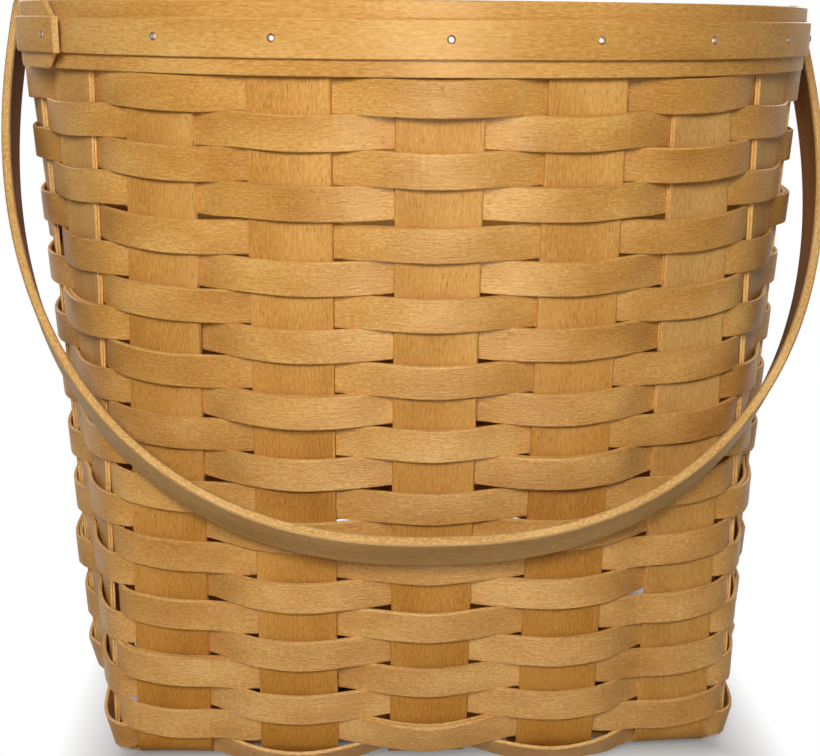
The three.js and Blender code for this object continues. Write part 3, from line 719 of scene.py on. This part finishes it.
def weaver_places(row, wobble):
    start = (WEAVER_FIRST_START + (row - 1) * WEAVER_START_STEP) % UPRIGHTS
    end = start + UPRIGHTS + WEAVER_LAP_UPRIGHTS
    layer = WEAVER_THICKNESS + LAYER_GAP
    middles, outs, downs = [], [], []
    for step in range((end - start) * STEPS_PER_UPRIGHT + 1):
        where = start + step / STEPS_PER_UPRIGHT
        number = math.floor(where + 0.5)
        share = where - number
        wave = math.cos(math.pi * share)
        outside = 1 if (row + number) % 2 else -1
        distance = RIM_ROOM + (row - 0.5) * WEAVER_PITCH + ROW_SHIFTS[row - 1]
        sag = SAG_AT_RIM + (SAG_AT_FOOT - SAG_AT_RIM) * row / WEAVER_ROWS
        distance += (wobble[number % UPRIGHTS] + sag * outside) * wave ** 2
        point, _, out, down = wall_place(number, share, distance)
        offset = outside * WEAVE_REACH * wave * (1 + WEAVE_FULLNESS - WEAVE_FULLNESS * wave ** 2)
        turned = math.sin(math.pi / 2 * max(-1, min(1, outside * wave / LAP_SWITCH)))
        if where <= start + WEAVER_LAP_UPRIGHTS + 1:
            offset -= layer * (1 - turned) / 2
        if where >= start + UPRIGHTS:
            offset += layer * (1 + turned) / 2
        bend = uprights[number % UPRIGHTS]
        if distance > bend.wall and outside < 0:
            offset -= wave * (WEAVER_WIDTH / 2) ** 2 / (2 * bend.bend)
        middles.append(point + out * offset)
        outs.append(out)
        downs.append(down)
    places = []
    last = len(middles) - 1
    for i, (middle, out, down) in enumerate(zip(middles, outs, downs)):
        along = (middles[min(i + 1, last)] - middles[max(i - 1, 0)]).normalized()
        up = (down * -1 + along * along.dot(down)).normalized()
        face = along.cross(up)
        places.append(Place(middle, up, face if face.dot(out) > 0 else face * -1))
    return places


print("places along a weaver:", (UPRIGHTS + WEAVER_LAP_UPRIGHTS) * STEPS_PER_UPRIGHT + 1)

# %% [markdown]
# The rows differ only in their number. Each crossing is also lifted or lowered by a small random
# wobble, seeded above so that it comes out the same each time.

# %% Weavers
WEAVER_EASE = 0.35
WOBBLE = 0.25

for row in range(1, WEAVER_ROWS + 1):
    name = f"weaver_row_{row:02d}"
    wobble = [random.uniform(-WOBBLE, WOBBLE) for _ in range(UPRIGHTS)]
    outline = section(WEAVER_WIDTH, WEAVER_THICKNESS, WEAVER_EASE)
    finishes = [WEAVER_WOOD, LIT_SAWN_EDGE, GLUE_LINE, END_GRAIN]
    lay_strip(name + "_finished", weaver_places(row, wobble), outline, finishes, "basket", name)
print("weavers laid:", WEAVER_ROWS)

# %% [markdown]
# Three strips make the rim: a band outside the uprights, a band inside them, and a narrow trim strip
# laid over the middle of the outer band. The bands' radii follow from the uprights that they clamp.
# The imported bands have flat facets, and the gap to the uprights is measured at the middle of one.
# The lap is drawn a little shorter than it is packed, by the cut-back angle, as on the real basket.

# %% Sizes of the rim
TRIM_HEIGHT = 13.5
TRIM_THICKNESS = 1.6
LAP_END_ANGLE = math.radians(-49.8)
LAP_ANGLE = math.radians(14)
LAP_RAMP_ANGLE = math.radians(5)
TRIM_LAP_OVERHANG_ANGLE = math.radians(1.6)
LAP_CORNER_CUT = 6.5
LAP_CUT_BACK_ANGLE = math.radians(1.75)
TRIM_END_SLANT = 1.0
INNER_LAP_END_ANGLE = math.radians(117)
RIM_FACETS = 44
INNER_WALL = RIM_RADIUS - SPLINT_THICKNESS / 2 - GAP
UPRIGHT_CORNER = math.hypot(RIM_RADIUS + SPLINT_THICKNESS / 2, SPLINT_WIDTH / 2)
BAND_INNER_RADIUS = (UPRIGHT_CORNER + GAP) / math.cos(math.pi / RIM_FACETS)
TRIM_INNER_RADIUS = BAND_INNER_RADIUS + BAND_THICKNESS + GAP
TRIM_OUTER_RADIUS = TRIM_INNER_RADIUS + TRIM_THICKNESS
RIM_LAP_STEP = BAND_THICKNESS + TRIM_THICKNESS + 2 * GAP
print("rim is", round(2 * TRIM_OUTER_RADIUS, 1), "mm across the trim strip")

# %% [markdown]
# Each rim strip goes once round and climbs over its own start. A plain ring with an end piece laid
# on it would be quicker, but the climb would be missing. Here the strip's radius grows smoothly
# before the lap. The ends of both bands are clipped at the corners, by narrowing their last places.
# The trim strip runs a little past the outer band and is cut off on a slant, which is made by
# tipping the last place's outward way back along the strip.

# %% Rim bands
RIM_STEP_ANGLE = math.radians(2)
LAP_STEP_ANGLE = math.radians(0.5)
CUT_STEPS = 8
RIM_EASE = 0.35


def lap_rise(angle, lap_angle):
    """How far a rim strip has climbed over its own start, from 0 to 1."""
    return smooth((angle - lap_angle + LAP_ANGLE) / LAP_RAMP_ANGLE + 1)


def rim_strip(name, inner_radius, thickness, height, lap_angle, end_angle, lap_step, cut, end_finish,
              slant=0):
    start = lap_angle - LAP_ANGLE
    ramp = start + math.tau - LAP_RAMP_ANGLE
    end = end_angle + math.tau
    cut_angle = cut / inner_radius
    angles = spread(start, ramp, RIM_STEP_ANGLE)
    angles += spread(ramp, end - cut_angle, LAP_STEP_ANGLE)[1:]
    if cut:
        angles += spread(end - cut_angle, end, cut_angle / CUT_STEPS)[1:]
    places = []
    for angle in angles:
        radius = inner_radius + thickness / 2 + lap_step * lap_rise(angle - math.tau, lap_angle)
        out = Vector((math.sin(angle), -math.cos(angle), 0))
        clipped = max(0.0, angle - end + cut_angle) * inner_radius if cut else 0.0
        middle = out * radius + Vector((0, 0, PIVOT_HEIGHT))
        places.append(Place(middle, Vector((0, 0, 1)), out, 1 - 2 * clipped / height))
    along = Vector((math.cos(end), math.sin(end), 0))
    places[-1].out = places[-1].out - along * (2 * slant / thickness)
    outline = section(height, thickness, RIM_EASE)
    finishes = [BAND_WOOD, LIT_SAWN_EDGE, GLUE_LINE, end_finish]
    return lay_strip(name + "_finished", places, outline, finishes, "basket", name)


rim_strip("outer_band", BAND_INNER_RADIUS, BAND_THICKNESS, BAND_HEIGHT, LAP_END_ANGLE,
          LAP_END_ANGLE - TRIM_LAP_OVERHANG_ANGLE - LAP_CUT_BACK_ANGLE, RIM_LAP_STEP, LAP_CORNER_CUT,
          DARK_END)
rim_strip("trim_strip", TRIM_INNER_RADIUS, TRIM_THICKNESS, TRIM_HEIGHT, LAP_END_ANGLE,
          LAP_END_ANGLE - LAP_CUT_BACK_ANGLE, RIM_LAP_STEP, 0, END_GRAIN, TRIM_END_SLANT)
rim_strip("inner_band", INNER_WALL - BAND_THICKNESS, BAND_THICKNESS, BAND_HEIGHT,
          INNER_LAP_END_ANGLE, INNER_LAP_END_ANGLE, -BAND_THICKNESS - GAP, LAP_CORNER_CUT, END_GRAIN)
print("rim strips laid: 3")

# %% [markdown]
# The handle is one thick strip bent into a hoop. A half circle is too shallow for it and an ellipse
# too pointed, so its path is a superellipse, which keeps straighter sides and a rounder bottom, as
# bent wood does. The hoop hangs at the angle where it comes to rest against the wall, read here
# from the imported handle's box. It is drawn a little wider and lower than it is packed, by the two
# extra sizes.

# %% Sizes of the handle
HANDLE_WIDTH = 19.5
HANDLE_THICKNESS = 3.8
HANDLE_DROP = 251
HANDLE_EXTRA_WIDTH = 0.8
HANDLE_EXTRA_DROP = 2
HANDLE_FULLNESS = 2.36
HANDLE_END_PAST_PIVOT = 16
HANDLE_RUNNING_GAP = 0.8
PIVOT_HALF = TRIM_OUTER_RADIUS + HANDLE_RUNNING_GAP + HANDLE_THICKNESS / 2

handle_low, handle_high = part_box("handle")
pivot_to_front = -handle_low.y / MM
hoop_reach = HANDLE_DROP + HANDLE_THICKNESS / 2
tilt = math.acos(min(1, pivot_to_front / math.hypot(hoop_reach, HANDLE_WIDTH / 2)))
tilt += math.atan2(HANDLE_WIDTH / 2, hoop_reach)
away = Vector((0, -math.cos(tilt), -math.sin(tilt)))
sideways = Vector((0, -math.sin(tilt), math.cos(tilt)))
print("handle hangs at", round(math.degrees(tilt), 2), "degrees below level")

# %% [markdown]
# The handle's ends run on past the rivets and are rounded: the strip narrows there as a half circle
# does. The inner face gets its own darker finish, which is painted shade, as that face turns away
# from the light.

# %% Handle
HANDLE_STEPS = 220
HANDLE_END_STEPS = 14
HANDLE_FIRST_STEP = 0.4
HANDLE_EASE = 0.7


def handle_places():
    pivot = Vector((0, 0, PIVOT_HEIGHT))
    half = (HANDLE_WIDTH + HANDLE_EXTRA_WIDTH) / 2
    centre = half - HANDLE_END_PAST_PIVOT
    hoop_drop = HANDLE_DROP + HANDLE_EXTRA_DROP
    ends = []
    for i in range(HANDLE_END_STEPS + 1):
        angle = (i + HANDLE_FIRST_STEP) / (HANDLE_END_STEPS + HANDLE_FIRST_STEP) * math.pi / 2
        ends.append((centre - half * math.cos(angle), math.sin(angle)))
    left = [Place(pivot + Vector((-PIVOT_HALF, 0, 0)) + away * drop, sideways, Vector((-1, 0, 0)), width)
            for drop, width in ends]
    right = [Place(pivot + Vector((PIVOT_HALF, 0, 0)) + away * drop, sideways, Vector((1, 0, 0)), width)
             for drop, width in reversed(ends)]
    power = 2 / HANDLE_FULLNESS
    hoop = []
    for i in range(HANDLE_STEPS + 1):
        angle = i / HANDLE_STEPS * math.pi
        sine, cosine = max(math.sin(angle), 0.0), math.cos(angle)
        x = -PIVOT_HALF * math.copysign(abs(cosine) ** power, cosine)
        drop = hoop_drop * sine ** power
        out_x = math.copysign((abs(x) / PIVOT_HALF) ** (HANDLE_FULLNESS - 1) / PIVOT_HALF, x)
        out_drop = (drop / hoop_drop) ** (HANDLE_FULLNESS - 1) / hoop_drop
        out = (Vector((out_x, 0, 0)) + away * out_drop).normalized()
        hoop.append(Place(pivot + Vector((x, 0, 0)) + away * drop, sideways, out))
    return left + hoop + right


outline = section(HANDLE_WIDTH + HANDLE_EXTRA_WIDTH, HANDLE_THICKNESS, HANDLE_EASE)
# The inner face takes the darker finish, which is painted shade.
outline = [(across, out, INSIDE if math.isclose(out, -HANDLE_THICKNESS / 2) else kind)
           for across, out, kind in outline]
finishes = [HANDLE_WOOD, LIT_SAWN_EDGE, GLUE_LINE, LIT_SAWN_EDGE, HANDLE_INSIDE_SHADE]
lay_strip("handle_finished", handle_places(), outline, finishes, "handle", "handle")
print("handle drawn", HANDLE_WIDTH + HANDLE_EXTRA_WIDTH, "mm wide")

# %% [markdown]
# Nails, rivets and their burrs are turned shapes. A cylinder with a squashed sphere on it would be
# two solids, and the join would show. So each is one profile, spun about its axis and then pointed
# out of the basket. The steel is bright inside a given radius of the head and dull round its edge.

# %% Turned shapes
HEAD_SUNK = 0.1
DOME_STEPS = 6
TURNED_SIDES = 32


def turned(name, profile, angle, bright_radius, bright_from, closed=False):
    """Spins (radius, distance from the basket's axis) points and aims them out at an angle."""
    mesh = bmesh.new()
    verts = [mesh.verts.new((radius * MM, 0, distance * MM)) for radius, distance in profile]
    pairs = list(zip(verts, verts[1:]))
    if closed:
        pairs.append((verts[-1], verts[0]))
    edges = [mesh.edges.new(pair) for pair in pairs]
    bmesh.ops.spin(mesh, geom=verts + edges, cent=(0, 0, 0), axis=(0, 0, 1), dvec=(0, 0, 0),
                   angle=math.tau, steps=TURNED_SIDES, use_merge=True)
    bmesh.ops.remove_doubles(mesh, verts=mesh.verts, dist=MERGE_DISTANCE * MM)
    bmesh.ops.recalc_face_normals(mesh, faces=mesh.faces)
    for face in mesh.faces:
        face.smooth = True
        middle = face.calc_center_median() / MM
        is_bright = math.hypot(middle.x, middle.y) < bright_radius and middle.z > bright_from
        face.material_index = 0 if is_bright else 1
    out = Vector((math.sin(angle), -math.cos(angle), 0))
    along = Vector((math.cos(angle), math.sin(angle), 0))
    aim = Matrix((along, Vector((0, 0, 1)), out)).transposed().to_4x4()
    bmesh.ops.transform(mesh, matrix=Matrix.Translation((0, 0, PIVOT_HEIGHT * MM)) @ aim,
                        verts=mesh.verts)
    return finished(name + "_finished", mesh, [BRIGHT_STEEL, DULL_STEEL], "basket", name)


def dome(radius, seat, height):
    """Points of a domed head from its rim to its crown."""
    points = []
    for i in range(DOME_STEPS + 1):
        angle = i / DOME_STEPS * math.pi / 2
        reach = radius * math.cos(angle) if i < DOME_STEPS else 0.0
        points.append((reach, seat + height * math.sin(angle)))
    return points


print("sides of a turned shape:", TURNED_SIDES)

# %% [markdown]
# A nail with a small domed head holds the rim at every upright, except at the two that carry the
# rivets. It could be copied round by an array, but six front nails were driven off the middle of
# their uprights, by the turns given in degrees. The nail of the lap stands back from the lap's end,
# and a head on the lap sits as high as the strips have climbed there.

# %% Nails
NAIL_HEAD_RADIUS = 1.5
NAIL_HEAD_HEIGHT = 0.7
NAIL_SHANK_RADIUS = 0.8
NAIL_BRIGHT_RADIUS = 0.75
LAP_NAIL_BACK_ANGLE = math.radians(5)
FIRST_UNEVEN_NAIL = -2
NAIL_TURNS = [1.3, -1.2, 0.9, 0.3, -1, -0.8]

nail_count = 0
for number in range(-UPRIGHTS // 2 + 1, UPRIGHTS // 2 + 1):
    if abs(number) == SPLINTS_EACH_WAY:
        continue
    nail_count += 1
    uneven = number - FIRST_UNEVEN_NAIL
    turn = NAIL_TURNS[uneven] if 0 <= uneven < len(NAIL_TURNS) else 0
    angle = number * UPRIGHT_ANGLE + math.radians(turn)
    if abs(angle - LAP_END_ANGLE) < UPRIGHT_ANGLE / 2:
        angle = LAP_END_ANGLE - LAP_NAIL_BACK_ANGLE
    head_angle = NAIL_HEAD_RADIUS / TRIM_OUTER_RADIUS
    on_lap = angle < LAP_END_ANGLE
    lift = RIM_LAP_STEP * lap_rise(angle + head_angle, LAP_END_ANGLE) if on_lap else 0.0
    seat = TRIM_OUTER_RADIUS + lift - HEAD_SUNK
    profile = [(0.0, BAND_INNER_RADIUS)]
    profile += [(NAIL_SHANK_RADIUS, BAND_INNER_RADIUS), (NAIL_SHANK_RADIUS, seat)]
    profile += dome(NAIL_HEAD_RADIUS, seat, NAIL_HEAD_HEIGHT)
    turned(f"rim_nail_{nail_count:02d}", profile, angle, NAIL_BRIGHT_RADIUS, seat)
print("nails:", nail_count)

# %% [markdown]
# Each rivet goes through the handle, the trim strip, both bands and the upright between them. It is
# hammered flat, or peened, over a small washer inside the basket, which basket makers call a burr.
# Rivet and burr are spun apart, because they are two pieces on the real basket.

# %% Rivets and burrs
RIVET_SHANK_RADIUS = 2.2
RIVET_HEAD_RADIUS = 3.8
RIVET_HEAD_HEIGHT = 2.4
RIVET_BRIGHT_RADIUS = 2.66
RIVET_PEEN_RADIUS = 3
RIVET_PEEN_HEIGHT = 1.2
BURR_RADIUS = 5
BURR_THICKNESS = 1.2
BURR_CHAMFER = 0.3

burr_outer = (INNER_WALL - BAND_THICKNESS) / math.cos(math.pi / RIM_FACETS) - GAP
burr_inner = burr_outer - BURR_THICKNESS
head_seat = PIVOT_HALF + HANDLE_THICKNESS / 2
for side, word in ((-1, "left"), (1, "right")):
    angle = side * math.pi / 2
    peen_seat = burr_inner - HEAD_SUNK
    profile = [(radius, 2 * peen_seat - distance)
               for radius, distance in dome(RIVET_PEEN_RADIUS, peen_seat, RIVET_PEEN_HEIGHT)[::-1]]
    profile += [(RIVET_SHANK_RADIUS, peen_seat), (RIVET_SHANK_RADIUS, head_seat)]
    profile += dome(RIVET_HEAD_RADIUS, head_seat, RIVET_HEAD_HEIGHT)
    turned(f"rivet_{word}", profile, angle, RIVET_BRIGHT_RADIUS, head_seat)
    bore = RIVET_SHANK_RADIUS + GAP
    ring = [
        (bore, burr_inner),
        (BURR_RADIUS - BURR_CHAMFER, burr_inner),
        (BURR_RADIUS, burr_inner + BURR_CHAMFER),
        (BURR_RADIUS, burr_outer),
        (bore, burr_outer),
    ]
    turned(f"rivet_burr_{word}", ring, angle, 0.0, 0.0, closed=True)
print("rivets: 2, burrs: 2, inner burr face at", round(burr_inner, 1), "mm")

# %% [markdown]
# A white ground could be had by flooding it with light, but that would bleach the wood. Instead the
# floor and the world are plain white only to the camera and in gloss. Near the basket the floor's
# own pale paint shows through and carries the shadow, and the square under the base is painted dark
# brown as shade, because it shows through the open weave. The world lights everything evenly and
# weakly. Lengths of the floor and the lamps are in metres.

# %% Floor and world
FLOOR_SIZE = 3.0
FLOOR_DARK_RADIUS = 0.128
FLOOR_WHITE_RADIUS = 0.156
FLOOR_NEAR_SHARE = 0.25
FLOOR_COVERED_RADIUS = 0.11
FLOOR_PAINT = linear(186, 184, 180)
# Painted shade: a dark brown for the floor under the base, where the basket's shadow lies.
COVERED_SHADE = linear(84, 62, 46)
WHITE = (1, 1, 1, 1)
WORLD_FILL = 0.08


def seen_directly(recipe):
    """1 for rays that the camera, gloss or glass sends, and 0 for the rays that light things."""
    rays = recipe.nodes.new("ShaderNodeLightPath")
    total = Signal(recipe, rays.outputs["Is Camera Ray"])
    for word in ("Is Glossy Ray", "Is Transmission Ray"):
        total = total + Signal(recipe, rays.outputs[word])
    return total.held()


floor_mesh = bmesh.new()
bmesh.ops.create_grid(floor_mesh, x_segments=1, y_segments=1, size=FLOOR_SIZE)
floor_data = bpy.data.meshes.new("floor")
floor_mesh.to_mesh(floor_data)
floor_mesh.free()
floor = bpy.data.objects.new("floor", floor_data)
scene.collection.objects.link(floor)
floor_paint = bpy.data.materials.new("floor_paint")
paint = Recipe(floor_paint)
white = paint.node("ShaderNodeEmission", {}, {"Color": WHITE, "Strength": 1.0})
sizes = paint.node("ShaderNodeVectorMath", {"operation": "ABSOLUTE"}, {0: paint.place()})
out_x = paint.node("ShaderNodeSeparateXYZ", {}, {0: sizes}, output=0)
out_y = paint.node("ShaderNodeSeparateXYZ", {}, {0: sizes}, output=1)
from_middle = out_x.maths("MAXIMUM", out_x, out_y)
open_floor = ((from_middle - FLOOR_DARK_RADIUS) / (FLOOR_WHITE_RADIUS - FLOOR_DARK_RADIUS)).held()
# Painted shade under the base: inside the covered square the floor turns dark brown.
past_cover = (from_middle - FLOOR_COVERED_RADIUS) / (FLOOR_DARK_RADIUS - FLOOR_COVERED_RADIUS)
shade_under_base = (1 - past_cover).held()
floor_colour = paint.mixed(shade_under_base, FLOOR_PAINT, COVERED_SHADE)
matte = paint.node("ShaderNodeBsdfDiffuse", {}, {"Color": floor_colour})
near_share = (1 - shade_under_base) * FLOOR_NEAR_SHARE
share = seen_directly(paint) * (open_floor * (1 - FLOOR_NEAR_SHARE) + near_share)
shown = paint.node("ShaderNodeMixShader", {}, {0: share, 1: matte, 2: white})
paint.node("ShaderNodeOutputMaterial", {}, {"Surface": shown})
floor_data.materials.append(floor_paint)

world = bpy.data.worlds.new("studio")
scene.world = world
sky = Recipe(world)
fill = sky.node("ShaderNodeBackground", {}, {"Color": WHITE, "Strength": WORLD_FILL})
bright = sky.node("ShaderNodeBackground", {}, {"Color": WHITE, "Strength": 1.0})
both = sky.node("ShaderNodeMixShader", {}, {0: seen_directly(sky), 1: fill, 2: bright})
sky.node("ShaderNodeOutputWorld", {}, {"Surface": both})
print("floor and world are set")

# %% [markdown]
# One soft lamp in front, above the camera, lights the strips. A tall, narrow, warm one below it
# adds nothing but gloss: it gives the varnish the pale streak down the middle of the basket. Two
# weaker lamps behind the basket keep its sides and back from going dark in other views.

# %% Lamps
def soft_lamp(name, place, target, width, height, watts, colour=(1, 1, 1), only_gloss=False):
    lamp = bpy.data.lights.new(name, "AREA")
    lamp.color = colour
    lamp.shape = "RECTANGLE"
    lamp.size = width
    lamp.size_y = height
    lamp.energy = watts
    holder = bpy.data.objects.new(name, lamp)
    holder.location = place
    holder.rotation_euler = (Vector(target) - Vector(place)).to_track_quat("-Z", "Y").to_euler()
    holder.visible_diffuse = not only_gloss
    scene.collection.objects.link(holder)
    return holder


soft_lamp("front_lamp", (-0.13, -0.93, 0.6), (0, 0, 0.17), width=0.3, height=0.3, watts=7.3)
soft_lamp("sheen_lamp", (0.06, -1.1, 0.12), (0, 0, 0.2), width=0.1, height=0.5, watts=90,
          colour=(1, 0.8, 0.52), only_gloss=True)
for side, word in ((-1, "left"), (1, "right")):
    soft_lamp(f"back_{word}_lamp", (side * 0.75, 0.85, 0.6), (0, 0, 0.15), width=0.4, height=0.4,
              watts=5)
print("lamps:", len(bpy.data.lights))
